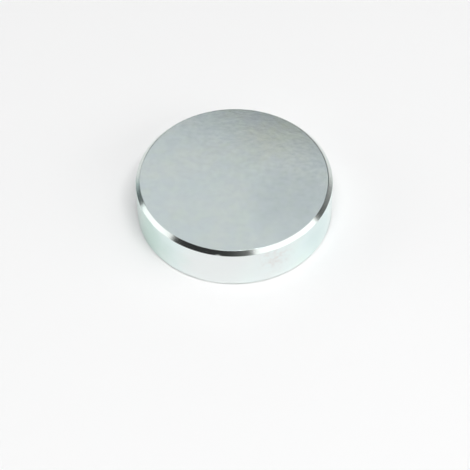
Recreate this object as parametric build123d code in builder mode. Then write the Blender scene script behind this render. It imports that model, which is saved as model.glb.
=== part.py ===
from build123d import *

import os

# Shallow pot magnet, 48 mm across and 11.5 mm high: a turned steel pot, plated with zinc and
# closed at the back, with a magnet disc bonded into it by cast resin.
#
# Frame: the origin is at the centre of the open rim, in the plane that pulls onto iron, and +Z
# runs along the axis to the closed back. All lengths are in millimetres.
#
# The sizes are built outwards from the magnet: the pocket takes the magnet with its resin, and
# the wall and the floor of the pot are added round the pocket.

# ---- Magnet: a sintered disc, ground on both faces and plated with nickel ----
magnet_diameter = 38.0
magnet_thickness = 5.5
magnet_chamfer = 0.3  # at 45 degrees, ground on both edges before plating
magnet_recess = 0.2  # the brittle face stays this far inside the rim

# ---- Resin: one casting, a film behind the magnet and a ring round it ----
bond_film = 0.1
ring_gap = 1.2  # radial width of the ring, which keeps the flux off the pot's wall
resin_setback = 0.1  # how far it ends inside the chamfers of the mouth and the magnet
meniscus_sag = 0.15  # how far the cured surface sinks at the middle of the ring

# ---- Steel pot ----
wall_thickness = 3.8
floor_thickness = 5.7  # the closed back, which carries the flux of the whole disc
back_chamfer = 1.0  # at 45 degrees, turned bright
rim_break = 0.3  # at 45 degrees, on the outer edge of the open rim
mouth_chamfer = 0.4  # at 45 degrees, where the pocket opens
root_radius = 0.8  # left by the tool between the pocket's wall and its floor

# ---- Sizes that follow ----
magnet_radius = magnet_diameter / 2
magnet_face = magnet_recess
magnet_back = magnet_face + magnet_thickness
resin_on_magnet = magnet_face + magnet_chamfer + resin_setback
pocket_radius = magnet_radius + ring_gap
pocket_depth = magnet_back + bond_film
resin_on_wall = mouth_chamfer + resin_setback
pot_radius = pocket_radius + wall_thickness
pot_height = pocket_depth + floor_thickness


# ---- Steel pot: one piece, turned from bar ----
with BuildPart() as steel_pot:
    with BuildSketch(Plane.XZ) as pot_half_section:
        with BuildLine():
            Polyline(
                (0, pocket_depth),
                (pocket_radius, pocket_depth),
                (pocket_radius, 0),
                (pot_radius, 0),
                (pot_radius, pot_height),
                (0, pot_height),
                close=True,
            )
        make_face()
    revolve(axis=Axis.Z)

    turned_edges = steel_pot.edges().filter_by(GeomType.CIRCLE).group_by(Axis.Z)
    mouth_edge, rim_edge = turned_edges[0].sort_by(SortBy.RADIUS)
    root_edge = turned_edges[1]
    back_edge = turned_edges[-1]
    fillet(root_edge, root_radius)
    chamfer(mouth_edge, mouth_chamfer)
    chamfer(rim_edge, rim_break)
    chamfer(back_edge, back_chamfer)
steel_pot.part.label = "steel_pot"


# ---- Magnet disc: lies on the bond film, with its face just inside the rim ----
with BuildPart() as magnet_disc:
    with Locations((0, 0, magnet_face)):
        Cylinder(
            radius=magnet_radius,
            height=magnet_thickness,
            align=(Align.CENTER, Align.CENTER, Align.MIN),
        )
    chamfer(magnet_disc.edges().filter_by(GeomType.CIRCLE), magnet_chamfer)
magnet_disc.part.label = "magnet_disc"


# ---- Resin casting: follows the pocket outside and the magnet inside ----
with BuildPart() as resin_casting:
    with BuildSketch(Plane.XZ) as resin_half_section:
        with BuildLine():
            pocket_floor = Line(
                (0, pocket_depth),
                (pocket_radius - root_radius, pocket_depth),
            )
            pocket_root = RadiusArc(
                pocket_floor @ 1,
                (pocket_radius, pocket_depth - root_radius),
                root_radius,
            )
            pocket_wall = Line(
                pocket_root @ 1,
                (pocket_radius, resin_on_wall),
            )
            meniscus = SagittaArc(
                pocket_wall @ 1,
                (magnet_radius, resin_on_magnet),
                -meniscus_sag,
            )
            magnet_side = Line(
                meniscus @ 1,
                (magnet_radius, magnet_back - magnet_chamfer),
            )
            magnet_corner = Line(
                magnet_side @ 1,
                (magnet_radius - magnet_chamfer, magnet_back),
            )
            magnet_bed = Line(
                magnet_corner @ 1,
                (0, magnet_back),
            )
            Line(magnet_bed @ 1, pocket_floor @ 0)
        make_face()
    revolve(axis=Axis.Z)
resin_casting.part.label = "resin_casting"


os.makedirs("parts", exist_ok=True)
export_step(steel_pot.part, "parts/steel_pot.step")
export_step(magnet_disc.part, "parts/magnet_disc.step")
export_step(resin_casting.part, "parts/resin_casting.step")
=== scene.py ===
"""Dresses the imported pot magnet: a turned and zinc-plated pot, a nickel-plated magnet disc and
cast resin. Lengths are in metres, angles in radians, unless a name says otherwise."""

import math

import bmesh
import bpy
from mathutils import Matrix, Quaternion, Vector


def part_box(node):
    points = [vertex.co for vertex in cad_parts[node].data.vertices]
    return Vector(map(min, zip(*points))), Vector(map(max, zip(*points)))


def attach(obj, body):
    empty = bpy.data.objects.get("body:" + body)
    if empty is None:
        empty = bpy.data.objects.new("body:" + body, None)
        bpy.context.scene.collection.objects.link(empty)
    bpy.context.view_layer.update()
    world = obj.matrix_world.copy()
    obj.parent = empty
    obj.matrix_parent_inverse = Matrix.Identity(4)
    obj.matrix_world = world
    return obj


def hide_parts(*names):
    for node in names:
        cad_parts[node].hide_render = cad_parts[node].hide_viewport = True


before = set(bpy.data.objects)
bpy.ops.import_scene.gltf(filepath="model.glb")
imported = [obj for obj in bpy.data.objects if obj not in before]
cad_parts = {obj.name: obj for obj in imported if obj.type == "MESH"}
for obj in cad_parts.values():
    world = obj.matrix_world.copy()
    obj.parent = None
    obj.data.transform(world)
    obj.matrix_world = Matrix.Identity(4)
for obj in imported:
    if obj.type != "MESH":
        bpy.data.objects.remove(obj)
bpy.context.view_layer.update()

MM = 0.001


# ---- Sizes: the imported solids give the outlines, and the breaks of the edges are named here ----

pot_low, pot_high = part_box("steel_pot")
magnet_low, magnet_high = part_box("magnet_disc")
resin_low, resin_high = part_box("resin_casting")

pot_radius = pot_high.x
pot_back = pot_high.z
pot_rim = pot_low.z
back_chamfer = 1.0 * MM
rim_break = 0.3 * MM
mouth_chamfer = 0.4 * MM
root_radius = 0.8 * MM
pocket_radius = resin_high.x
pocket_floor = resin_high.z

magnet_radius = magnet_high.x
magnet_face = magnet_low.z
magnet_back = magnet_high.z
magnet_chamfer = 0.3 * MM

resin_setback = 0.1 * MM  # from the end of the magnet's chamfer to the resin's edge
resin_on_wall = resin_low.z
resin_on_magnet = magnet_face + magnet_chamfer + resin_setback
meniscus_sag = 0.15 * MM

plated_edge = 0.09 * MM  # the plating rounds every turned edge by about this radius
crisp_edge = 0.05 * MM  # and less where the chamfer cuts the back
roll_width = 0.1 * MM  # the back rolls off a little before it meets the chamfer
roll_drop = 0.045 * MM
roll_radius = 0.4 * MM

nick_angle = math.radians(-100)
nick_width = 1.9 * MM
nick_reach = 0.3 * MM  # how far it spreads over the chamfer and down the wall
nick_depth = 0.11 * MM


# ---- Shader maths ----


class Wire:
    """The output of a node. Arithmetic on wires adds Math nodes to their tree."""

    def __init__(self, nodes, socket):
        self.nodes = nodes
        self.socket = socket

    def maths(self, operation, first, second):
        return self.nodes.add("ShaderNodeMath", {"operation": operation}, {0: first, 1: second})

    def __add__(self, other):
        return self.maths("ADD", self, other)

    def __radd__(self, other):
        return self.maths("ADD", other, self)

    def __sub__(self, other):
        return self.maths("SUBTRACT", self, other)

    def __rsub__(self, other):
        return self.maths("SUBTRACT", other, self)

    def __mul__(self, other):
        return self.maths("MULTIPLY", self, other)

    def __rmul__(self, other):
        return self.maths("MULTIPLY", other, self)


class Nodes:
    """Fills one node tree."""

    def __init__(self, tree):
        self.tree = tree
        tree.nodes.clear()

    def add(self, kind, settings, sockets, output=0):
        """Adds a node with its settings, then its sockets' values or wires, and returns an output."""
        node = self.tree.nodes.new(kind)
        for name, value in settings.items():
            setattr(node, name, value)
        for name, value in sockets.items():
            if isinstance(value, Wire):
                self.tree.links.new(value.socket, node.inputs[name])
            else:
                node.inputs[name].default_value = value
        return Wire(self, node.outputs[output]) if node.outputs else None

    def place(self):
        """Where a point lies in the part's own frame."""
        return self.add("ShaderNodeTexCoord", {}, {}, "Object")

    def part_of(self, place, axis):
        """One coordinate, X, Y or Z, of a place."""
        return self.add("ShaderNodeSeparateXYZ", {}, {"Vector": place}, axis)

    def distance(self, place, centre):
        sockets = {0: place, 1: centre}
        return self.add("ShaderNodeVectorMath", {"operation": "DISTANCE"}, sockets, "Value")

    def from_axis(self, place):
        """The distance of a place from the part's axis."""
        flat = self.add("ShaderNodeVectorMath", {"operation": "MULTIPLY"}, {0: place, 1: (1, 1, 0)})
        return self.distance(flat, (0, 0, 0))

    def noise(self, place, feature_size, detail=2.0):
        """Smooth noise, from 0 to 1, with features of about the given size."""
        sockets = {"Vector": place, "Scale": 1 / feature_size, "Detail": detail}
        return self.add("ShaderNodeTexNoise", {"noise_dimensions": "3D"}, sockets)

    def rings(self, distance, pitch, detail=2.0):
        """Noise along one distance only: the grooves that a turning tool leaves."""
        sockets = {"W": distance, "Scale": 1 / pitch, "Detail": detail}
        return self.add("ShaderNodeTexNoise", {"noise_dimensions": "1D"}, sockets)

    def between(self, value, low, high):
        """Rises smoothly from 0 at low to 1 at high."""
        settings = {"interpolation_type": "SMOOTHSTEP"}
        sockets = {"Value": value, "From Min": low, "From Max": high}
        return self.add("ShaderNodeMapRange", settings, sockets)

    def patch(self, place, centre, reach):
        """1 at the centre of a patch, fading to 0 along an outline that wanders."""
        wander = self.noise(place, reach / 2) - 0.5
        return self.between(self.distance(place, centre) + reach * wander, reach, 0.0)

    def marks(self, place, turn_deg, length, width):
        """1 on straight marks, thin and far apart, that all lie one way across the flat."""
        sockets = {"Vector": place, "Rotation": (0, 0, math.radians(turn_deg))}
        sockets["Scale"] = (length, width, 1)
        along = self.add("ShaderNodeMapping", {"vector_type": "TEXTURE"}, sockets)
        return self.between(self.noise(along, 1.0, 0.0), 0.74, 0.82)

    def blend(self, factor, first, second):
        """Mixes two colours."""
        sockets = {0: factor, 6: first, 7: second}
        return self.add("ShaderNodeMix", {"data_type": "RGBA"}, sockets, 2)

    def bump(self, height, distance, under=None):
        """A normal that follows a height, laid over another normal if one is given."""
        sockets = {"Height": height, "Distance": distance}
        if under is not None:
            sockets["Normal"] = under
        return self.add("ShaderNodeBump", {}, sockets)


def new_material(name):
    material = bpy.data.materials.new(name)
    material.use_nodes = True
    return material, Nodes(material.node_tree)


def close_material(nodes, sockets):
    surface = nodes.add("ShaderNodeBsdfPrincipled", {}, sockets)
    nodes.add("ShaderNodeOutputMaterial", {}, {"Surface": surface})


# ---- Finishes ----

ZINC_BLUE = (0.80, 0.905, 0.905, 1)
ZINC_GREEN = (0.805, 0.91, 0.865, 1)
ZINC_GREY = (0.825, 0.915, 0.895, 1)
ZINC_STRAW = (0.83, 0.89, 0.80, 1)
# partly the plating's sage tint, partly a painted reflection: darker and greener where the wall
# mirrors the shaded floor beside it
SAGE_TINT_AND_PAINTED_REFLECTION = (0.58, 0.735, 0.68, 1)
ZINC_PLAIN = (0.82, 0.85, 0.845, 1)
ZINC_CYAN = (0.70, 0.82, 0.81, 1)
ZINC_SHADE = (0.70, 0.795, 0.80, 1)
ZINC_LEAF = (0.84, 0.94, 0.85, 1)
ZINC_MAUVE = (0.73, 0.80, 0.89, 1)
ZINC_TURNED = (0.71, 0.76, 0.735, 1)
TURNED_TEAL = (0.58, 0.735, 0.72, 1)
STAIN = (0.75, 0.745, 0.728, 1)
NICKEL_WARM = (0.72, 0.69, 0.63, 1)
NICKEL_DULL = (0.62, 0.60, 0.56, 1)
RESIN_BLACK = (0.018, 0.018, 0.02, 1)
RESIN_DUSTY = (0.05, 0.05, 0.052, 1)


def zinc_clouds(nodes, place):
    """Clear passivation over zinc: pale grey, with broad blue and green clouds."""
    blue = nodes.between(nodes.noise(place, 11 * MM), 0.4, 0.62)
    green = nodes.between(nodes.noise(place, 7 * MM, 3.0), 0.48, 0.7)
    return nodes.blend(green * 0.7, nodes.blend(blue, ZINC_GREY, ZINC_BLUE), ZINC_GREEN)


def lay_patches(nodes, place, colour, patches):
    """Lays patches over a colour, each (centre, reach, colour, strength)."""
    for centre, reach, patch_colour, strength in patches:
        patch = nodes.patch(place, centre, reach)
        colour = nodes.blend(patch * strength, colour, patch_colour)
    return colour


BACK_PATCHES = (
    ((-9 * MM, -4 * MM, pot_back), 10 * MM, ZINC_BLUE, 0.7),
    ((2 * MM, 4 * MM, pot_back), 7 * MM, ZINC_GREEN, 0.7),
    ((8 * MM, 13 * MM, pot_back), 9 * MM, ZINC_STRAW, 0.7),
    ((14 * MM, 14 * MM, pot_back), 9 * MM, ZINC_LEAF, 0.6),
    ((14 * MM, -9 * MM, pot_back), 15 * MM, ZINC_SHADE, 1.0),
)
WALL_PATCHES = (
    ((-3 * MM, -24 * MM, 5 * MM), 26 * MM, ZINC_PLAIN, 1.0),
    ((21.5 * MM, -10.5 * MM, 5 * MM), 12 * MM, ZINC_CYAN, 1.0),
    # left of the wall: a sage tint and a painted reflection of the shaded floor beside it
    ((-21.5 * MM, -10.5 * MM, 6 * MM), 15 * MM, SAGE_TINT_AND_PAINTED_REFLECTION, 1.0),
)
CHAMFER_PATCHES = (((-23.5 * MM, -3 * MM, 11 * MM), 8 * MM, TURNED_TEAL, 1.0),)


def back_finish():
    """The closed back: an even satin with a fine grain, and colour clouds in the plating."""
    material, nodes = new_material("satin_zinc")
    place = nodes.place()
    colour = lay_patches(nodes, place, zinc_clouds(nodes, place), BACK_PATCHES)
    mauve = nodes.between(nodes.noise(place, 2.4 * MM), 0.35, 0.65)
    colour = nodes.blend(mauve * 0.22, colour, ZINC_MAUVE)
    mottle = nodes.noise(place, 1.3 * MM, 3.0)
    grain = nodes.noise(place, 0.3 * MM, 3.0)
    close_material(
        nodes,
        {
            "Base Color": colour,
            "Metallic": 1.0,
            "Roughness": 0.08 + 0.09 * mottle,
            "Normal": nodes.bump(grain, 0.002 * MM, under=nodes.bump(mottle, 0.004 * MM)),
        },
    )
    return material


def wall_finish():
    """The straight wall: turned smooth, and bright under the plating."""
    material, nodes = new_material("glossy_zinc")
    place = nodes.place()
    colour = lay_patches(nodes, place, zinc_clouds(nodes, place), WALL_PATCHES)
    stain = nodes.patch(place, (9.5 * MM, -22 * MM, 7.8 * MM), 6.5 * MM)
    specks = nodes.between(nodes.noise(place, 1.0 * MM, 3.0), 0.4, 0.65)
    colour = nodes.blend(stain * (0.15 + 0.85 * specks), colour, STAIN)
    grooves = nodes.rings(nodes.part_of(place, "Z"), 0.2 * MM, 4.0)
    close_material(
        nodes,
        {
            "Base Color": colour,
            "Metallic": 1.0,
            "Roughness": 0.13 + 0.08 * nodes.noise(place, 3 * MM),
            "Normal": nodes.bump(grooves, 0.001 * MM),
        },
    )
    return material


def chamfer_finish():
    """The chamfers: cut last, with the grooves of the turning tool."""
    material, nodes = new_material("bright_turned_zinc")
    place = nodes.place()
    grooves = nodes.rings(nodes.part_of(place, "Z"), 0.16 * MM, 4.0)
    close_material(
        nodes,
        {
            "Base Color": lay_patches(nodes, place, ZINC_TURNED, CHAMFER_PATCHES),
            "Metallic": 1.0,
            "Roughness": 0.16,
            "Normal": nodes.bump(grooves, 0.011 * MM),
        },
    )
    return material


def rim_finish():
    """The rim and the pocket: faced on the lathe, with rings round the axis."""
    material, nodes = new_material("faced_zinc")
    place = nodes.place()
    grooves = nodes.rings(nodes.from_axis(place), 0.16 * MM, 3.0)
    close_material(
        nodes,
        {
            "Base Color": zinc_clouds(nodes, place),
            "Metallic": 1.0,
            "Roughness": 0.2 + 0.1 * nodes.noise(place, 2 * MM),
            "Normal": nodes.bump(grooves, 0.004 * MM),
        },
    )
    return material


def nickel_finish():
    """Nickel on the sintered magnet: bright, a little hazy, with fine marks from the barrel."""
    material, nodes = new_material("nickel")
    place = nodes.place()
    haze = nodes.between(nodes.noise(place, 5 * MM, 4.0), 0.35, 0.75)
    long_marks = nodes.marks(place, 25, 6 * MM, 0.1 * MM)
    short_marks = nodes.marks(place, 80, 2.5 * MM, 0.08 * MM)
    crossing_marks = nodes.marks(place, 145, 3 * MM, 0.08 * MM)
    worn = haze * 0.22 + 0.5 * (long_marks + short_marks + crossing_marks)
    peel = nodes.noise(place, 1.1 * MM)
    grain = nodes.noise(place, 0.25 * MM, 3.0)
    close_material(
        nodes,
        {
            "Base Color": nodes.blend(worn, NICKEL_WARM, NICKEL_DULL),
            "Metallic": 1.0,
            "Roughness": 0.12 + 0.2 * worn,
            "Normal": nodes.bump(grain, 0.001 * MM, under=nodes.bump(peel, 0.003 * MM)),
        },
    )
    return material


def resin_finish():
    """Black casting resin: glossy, slightly uneven, with dust and pinholes."""
    material, nodes = new_material("black_resin")
    place = nodes.place()
    dust = nodes.between(nodes.noise(place, 0.8 * MM, 4.0), 0.5, 0.8)
    pinholes = nodes.between(nodes.noise(place, 0.5 * MM), 0.78, 0.72)
    swell = nodes.noise(place, 1.5 * MM)
    close_material(
        nodes,
        {
            "Base Color": nodes.blend(dust, RESIN_BLACK, RESIN_DUSTY),
            "Roughness": 0.18 + 0.3 * dust,
            "Normal": nodes.bump(pinholes, 0.05 * MM, under=nodes.bump(swell, 0.06 * MM)),
        },
    )
    return material


# ---- Turned pieces ----

STEPS_ROUND = 360
NICK_STEPS = 48
MENISCUS_STEPS = 12
ARC_STEPS = 6
HOLD = 0.03 * MM  # a ring this close to each arc keeps the shading of the long runs flat
ON_AXIS = 1e-9  # a point nearer to the axis than this is on it


def rounded_corner(before, corner, after, radius):
    """The arc that rounds a corner of a section, as points."""
    back = (before - corner).normalized()
    ahead = (after - corner).normalized()
    half = back.angle(ahead) / 2
    setback = radius / math.tan(half)
    centre = corner + (back + ahead).normalized() * (radius / math.sin(half))
    start = corner + back * setback - centre
    turn = (corner + ahead * setback - centre).angle_signed(start)
    points = []
    for step in range(ARC_STEPS + 1):
        angle = turn * step / ARC_STEPS
        points.append(
            centre
            + Vector(
                (
                    start.x * math.cos(angle) - start.y * math.sin(angle),
                    start.x * math.sin(angle) + start.y * math.cos(angle),
                )
            )
        )
    return points


def turned_section(corners):
    """Turns corners, each (radius, height, rounding, finish of the run that follows), into section
    points and the finish of each strip between two points. An arc has the finish of the run that
    follows it, and a holding point stands beside it on each long run."""
    places = [Vector((corner[0], corner[1])) for corner in corners]
    points = [places[0]]
    finishes = []
    for index in range(1, len(corners)):
        run_finish = corners[index - 1][3]
        rounding = corners[index][2]
        if rounding == 0:
            arc = [places[index]]
        else:
            arc = rounded_corner(places[index - 1], places[index], places[index + 1], rounding)
        start, end = points[-1], arc[0]
        along = (end - start).normalized()
        if (end - start).length > 3 * HOLD:
            if start.x > 0:
                points.append(start + along * HOLD)
                finishes.append(run_finish)
            points.append(end - along * HOLD)
            finishes.append(run_finish)
        points.append(end)
        finishes.append(run_finish)
        for point in arc[1:]:
            points.append(point)
            finishes.append(corners[index][3])
    return points, finishes


def turn(name, points, finishes, angles):
    """Turns a section, from axis to axis, into a closed mesh."""
    made = sorted(set(finishes), key=finishes.index)
    mesh = bpy.data.meshes.new(name)
    shape = bmesh.new()
    rings = []
    for point in points:
        if point.x < ON_AXIS:
            rings.append([shape.verts.new((0, 0, point.y))] * len(angles))
        else:
            rings.append(
                [
                    shape.verts.new((point.x * math.cos(a), point.x * math.sin(a), point.y))
                    for a in angles
                ]
            )
    for upper, lower, finish in zip(rings, rings[1:], finishes):
        for index in range(len(angles)):
            following = (index + 1) % len(angles)
            corners = []
            for vertex in (upper[index], lower[index], lower[following], upper[following]):
                if vertex not in corners:
                    corners.append(vertex)
            face = shape.faces.new(corners)
            face.smooth = True
            face.material_index = made.index(finish)
    bmesh.ops.recalc_face_normals(shape, faces=shape.faces)
    shape.to_mesh(mesh)
    shape.free()
    for finish in made:
        mesh.materials.append(FINISHES[finish])
    piece = bpy.data.objects.new(name, mesh)
    bpy.context.scene.collection.objects.link(piece)
    return piece


def even_angles(count):
    return [2 * math.pi * index / count for index in range(count)]


def angles_round_nick():
    """Even angles, with closer ones where the nick needs them."""
    reach = nick_width / pot_radius
    middle = nick_angle % (2 * math.pi)
    angles = [angle for angle in even_angles(STEPS_ROUND) if abs(angle - middle) > reach]
    for step in range(NICK_STEPS + 1):
        angles.append(middle + reach * (2 * step / NICK_STEPS - 1))
    return sorted(angles)


def press_nick(pot):
    """A small blow has pushed the chamfer's outer edge in."""
    outward = Vector((math.cos(nick_angle), math.sin(nick_angle), 0))
    edge = outward * pot_radius + Vector((0, 0, pot_back - back_chamfer))
    inward = (Vector((0, 0, -1)) - outward).normalized()
    for vertex in pot.data.vertices:
        offset = vertex.co - edge
        along = outward.cross(offset).z / (nick_width / 2)
        across = Vector((outward.dot(offset), offset.z)).length / nick_reach
        off = math.hypot(along, across)
        if off < 1:
            vertex.co += inward * nick_depth * (1 - off**2) ** 2


def make_pot():
    edge = pot_back - back_chamfer
    beside_nick = [nick_reach * step / 5 for step in (2, 3, 4, 5)]
    corners = [
        (0, pot_back, 0, "back"),
        (pot_radius - back_chamfer - roll_width, pot_back, roll_radius, "back"),
        (pot_radius - back_chamfer + roll_drop, pot_back - roll_drop, crisp_edge, "chamfer"),
        *[
            (pot_radius - away * math.sqrt(0.5), edge + away * math.sqrt(0.5), 0, "chamfer")
            for away in reversed(beside_nick)
        ],
        (pot_radius, edge, plated_edge, "wall"),
        *[(pot_radius, edge - away, 0, "wall") for away in beside_nick],
        (pot_radius, pot_rim + rim_break, plated_edge, "chamfer"),
        (pot_radius - rim_break, pot_rim, plated_edge, "rim"),
        (pocket_radius + mouth_chamfer, pot_rim, plated_edge, "chamfer"),
        (pocket_radius, pot_rim + mouth_chamfer, plated_edge, "rim"),
        (pocket_radius, pocket_floor, root_radius, "rim"),
        (0, pocket_floor, 0, "rim"),
    ]
    points, finishes = turned_section(corners)
    pot = turn("turned_pot", points, finishes, angles_round_nick())
    press_nick(pot)
    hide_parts("steel_pot")
    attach(pot, "root")


def make_magnet():
    corners = [
        (0, magnet_back, 0, "nickel"),
        (magnet_radius - magnet_chamfer, magnet_back, plated_edge, "nickel"),
        (magnet_radius, magnet_back - magnet_chamfer, plated_edge, "nickel"),
        (magnet_radius, magnet_face + magnet_chamfer, plated_edge, "nickel"),
        (magnet_radius - magnet_chamfer, magnet_face, plated_edge, "nickel"),
        (0, magnet_face, 0, "nickel"),
    ]
    points, finishes = turned_section(corners)
    magnet = turn("magnet", points, finishes, even_angles(STEPS_ROUND))
    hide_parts("magnet_disc")
    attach(magnet, "root")


def sagging_surface(start, end, sag, steps):
    """The resin's open surface, from the pocket wall to the magnet, as it set."""
    points = []
    for step in range(steps + 1):
        share = step / steps
        lift = 4 * sag * share * (1 - share)
        points.append(start.lerp(end, share) + Vector((0, lift)))
    return points


def make_resin():
    meniscus = sagging_surface(
        Vector((pocket_radius, resin_on_wall)),
        Vector((magnet_radius, resin_on_magnet)),
        meniscus_sag,
        steps=MENISCUS_STEPS,
    )
    corners = [
        (0, pocket_floor, 0, "resin"),
        (pocket_radius, pocket_floor, root_radius, "resin"),
        *[(point.x, point.y, 0, "resin") for point in meniscus],
        (magnet_radius, magnet_back - magnet_chamfer, 0, "resin"),
        (magnet_radius - magnet_chamfer, magnet_back, 0, "resin"),
        (0, magnet_back, 0, "resin"),
    ]
    points, finishes = turned_section(corners)
    resin = turn("cast_resin", points, finishes, even_angles(STEPS_ROUND))
    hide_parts("resin_casting")
    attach(resin, "root")


# ---- Stage ----

PALE = (0.93, 0.93, 0.93, 1)
WALL_BLACK = (0, 0, 0, 1)
WALL_WHITE = (1, 1, 1, 1)
CAMERA_TARGET = Vector((-0.00002, -0.0085, 0))
CAMERA_DISTANCE = 0.5187
OVERHEAD_HEIGHT = 1.2
STUDIO_RADIUS = 1.6
STUDIO_BOTTOM = -0.1
STUDIO_TOP = 2.0
FLOOR_RADIUS = 6.0


def direction(azimuth_deg, elevation_deg):
    """The way from the part to a point of the studio. Azimuth runs from +Y towards +X."""
    azimuth = math.radians(azimuth_deg)
    elevation = math.radians(elevation_deg)
    level = math.cos(elevation)
    return Vector((math.sin(azimuth) * level, math.cos(azimuth) * level, math.sin(elevation)))


def make_camera():
    data = bpy.data.cameras.new("camera")
    data.sensor_width = 36.0
    data.lens = 162.25
    data.clip_start = 0.01
    data.clip_end = 20
    camera = bpy.data.objects.new("camera", data)
    bpy.context.scene.collection.objects.link(camera)
    toward_camera = direction(180, 50.0)
    camera.location = CAMERA_TARGET + toward_camera * CAMERA_DISTANCE
    roll = Quaternion((0, 0, 1), math.radians(-0.94))
    camera.rotation_mode = "QUATERNION"
    camera.rotation_quaternion = toward_camera.to_track_quat("Z", "Y") @ roll
    bpy.context.scene.camera = camera


def make_softbox(name, centre, facing, width, height, radiance):
    """An area lamp of one even brightness, which shows in the metal."""
    data = bpy.data.lights.new(name, "AREA")
    data.shape = "RECTANGLE"
    data.size = width
    data.size_y = height
    data.energy = radiance * math.pi * width * height
    lamp = bpy.data.objects.new(name, data)
    bpy.context.scene.collection.objects.link(lamp)
    lamp.location = centre
    lamp.rotation_mode = "QUATERNION"
    lamp.rotation_quaternion = facing
    lamp.visible_camera = False


def make_standing_softbox(name, azimuth, centre_height, lean, width, height, radiance):
    """Stands a metre away. It leans by some degrees, its end of greater azimuth being higher."""
    away = direction(azimuth, 0)
    facing = away.to_track_quat("Z", "Y") @ Quaternion((0, 0, 1), math.radians(-lean))
    centre = away + Vector((0, 0, centre_height))
    make_softbox(name, centre, facing, width, height, radiance)


def make_overhead(name, x, y, azimuth, width, depth, radiance):
    """Lies flat above the set, with its depth along the azimuth."""
    facing = Quaternion((0, 0, 1), math.radians(-azimuth))
    make_softbox(name, Vector((x, y, OVERHEAD_HEIGHT)), facing, width, depth, radiance)


def make_lamps():
    make_standing_softbox("right_softbox", 125.2, 0.65, 20, width=1.53, height=0.56, radiance=1.3)
    make_standing_softbox("left_softbox", -91, 0.425, 0, width=0.755, height=0.65, radiance=1.3)
    make_overhead("rear_overhead", 0.188, 0.443, 23, width=2.0, depth=1.162, radiance=0.62)
    make_overhead("front_overhead", 0.13, -0.4, 0, width=0.9, depth=0.38, radiance=9.9)


def make_studio_wall():
    """Dim walls round the set. They show in the metal, and the camera looks through them."""
    material, nodes = new_material("studio_wall")
    place = nodes.place()
    x, y, z = (nodes.part_of(place, axis) for axis in "XYZ")
    behind = nodes.between(y, -0.2, 0.2)
    skyline = 0.03 + nodes.between(z, 0.6, 0.0) * (0.11 + 0.24 * nodes.between(x, -1.5, 1.5))
    spill = 0.18 * nodes.between(x, -0.4, 0.8) + 0.4 * nodes.between(z, 0.8, 0.45)
    left_glow = nodes.between(nodes.distance(place, (-1.13, 1.13, 1.0)), 0.8, 0.25)
    right_glow = nodes.between(nodes.distance(place, (1.13, 1.13, 0.72)), 0.5, 0.15)
    rear_glow = nodes.between(nodes.distance(place, (-0.06, 1.6, 0.45)), 0.7, 0.35)
    glows = left_glow + right_glow + rear_glow
    level = 0.03 + behind * skyline + (1 - behind) * spill + 0.6 * glows
    shine = nodes.blend(level, WALL_BLACK, WALL_WHITE)
    glow = nodes.add("ShaderNodeEmission", {}, {"Color": shine, "Strength": 1.0})
    nodes.add("ShaderNodeOutputMaterial", {}, {"Surface": glow})
    shape = bmesh.new()
    bmesh.ops.create_cone(
        shape,
        cap_ends=True,
        segments=64,
        radius1=STUDIO_RADIUS,
        radius2=STUDIO_RADIUS,
        depth=STUDIO_TOP - STUDIO_BOTTOM,
    )
    middle = (STUDIO_TOP + STUDIO_BOTTOM) / 2
    bmesh.ops.translate(shape, verts=shape.verts, vec=(0, 0, middle))
    mesh = bpy.data.meshes.new("studio_wall")
    shape.to_mesh(mesh)
    shape.free()
    mesh.materials.append(material)
    wall = bpy.data.objects.new("studio_wall", mesh)
    bpy.context.scene.collection.objects.link(wall)
    wall.visible_camera = False


def make_floor():
    """Pale and shaded near the part, and from there on as even as the surround."""
    material, nodes = new_material("pale_floor")
    sockets = {"Base Color": PALE, "Roughness": 0.9}
    near = nodes.add("ShaderNodeBsdfPrincipled", {}, sockets)
    far = nodes.add("ShaderNodeEmission", {}, {"Color": PALE, "Strength": 1.0})
    rays = ("Is Camera Ray", "Is Glossy Ray", "Is Transmission Ray")
    seen, mirrored, through = (nodes.add("ShaderNodeLightPath", {}, {}, ray) for ray in rays)
    away = nodes.between(nodes.from_axis(nodes.place()), 0.2, 0.6)
    share = away * (seen + mirrored + through)
    surface = nodes.add("ShaderNodeMixShader", {}, {0: share, 1: near, 2: far})
    nodes.add("ShaderNodeOutputMaterial", {}, {"Surface": surface})
    mesh = bpy.data.meshes.new("floor")
    shape = bmesh.new()
    bmesh.ops.create_circle(shape, cap_ends=True, segments=64, radius=FLOOR_RADIUS)
    shape.to_mesh(mesh)
    shape.free()
    mesh.materials.append(material)
    floor = bpy.data.objects.new("floor", mesh)
    bpy.context.scene.collection.objects.link(floor)


def make_world():
    world = bpy.data.worlds.new("pale_surround")
    world.use_nodes = True
    nodes = Nodes(world.node_tree)
    light = nodes.add("ShaderNodeBackground", {}, {"Color": PALE, "Strength": 1.0})
    nodes.add("ShaderNodeOutputWorld", {}, {"Surface": light})
    bpy.context.scene.world = world


FINISHES = {
    "back": back_finish(),
    "wall": wall_finish(),
    "chamfer": chamfer_finish(),
    "rim": rim_finish(),
    "nickel": nickel_finish(),
    "resin": resin_finish(),
}

make_camera()
make_pot()
make_magnet()
make_resin()
make_floor()
make_studio_wall()
make_lamps()
make_world()
bpy.context.scene.view_settings.view_transform = "Standard"
